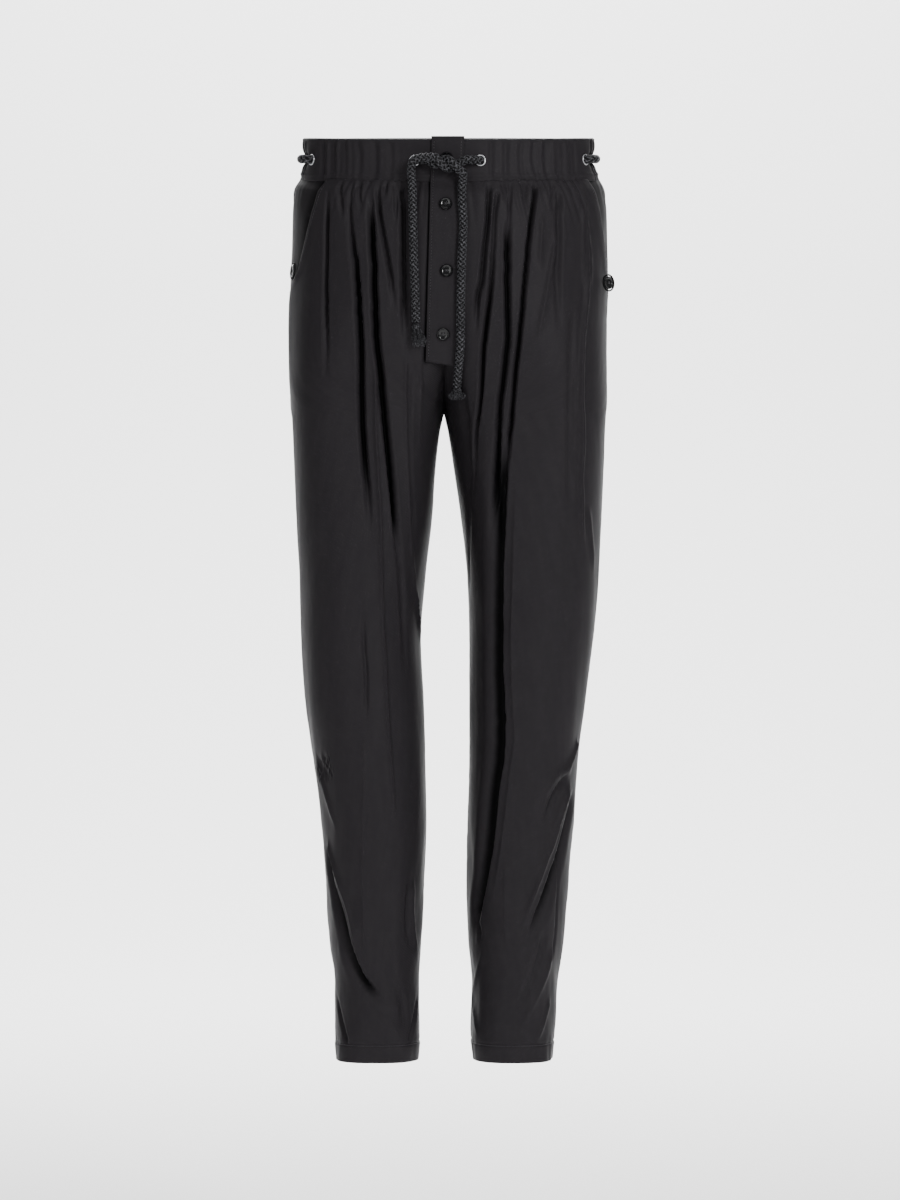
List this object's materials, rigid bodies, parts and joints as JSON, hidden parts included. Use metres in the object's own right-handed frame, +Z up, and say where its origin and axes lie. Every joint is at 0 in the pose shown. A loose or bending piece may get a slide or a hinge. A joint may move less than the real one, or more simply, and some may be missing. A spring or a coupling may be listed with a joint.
{
  "type": "drawstring joggers",
  "caption": "Long trousers with an elastic drawstring waist, buttoned fly placket and slanted side pockets, in the hollow standing shape they take when worn.",
  "frame": {"origin": "middle of the waistband ring, level with the drawcord, where the wearer's waist holds the garment", "axes": "+Z up along the legs, -Y the wearer's front, +X the wearer's left"},
  "size_m": [0.3647, 0.2802, 1.0505],
  "materials": {
    "twill": "soft satin-faced twill, charcoal black",
    "band": "the same twill, puckered over elastic",
    "cord": "braided cotton cord, matt black",
    "button": "polished black resin",
    "eyelet": "bright plated metal"
  },
  "bodies": {
    "root": {"front_right": "twill", "front_left": "twill", "back_right": "twill", "back_left": "twill", "pocket_facing_right": "twill", "pocket_facing_left": "twill", "waistband": "band", "fly_placket": "twill", "drawcord_back": "cord", "drawcord_right": "cord", "drawcord_left": "cord", "tassel_right": "cord", "tassel_left": "cord", "fly_button_1": "button", "fly_button_2": "button", "fly_button_3": "button", "fly_button_4": "button", "pocket_button_right": "button", "pocket_button_left": "button", "eyelet_front_right": "eyelet", "eyelet_front_left": "eyelet", "eyelet_side_right": "eyelet", "eyelet_side_left": "eyelet", "pocket_loop_right": "cord", "pocket_loop_left": "cord"}
  },
  "joints": []
}
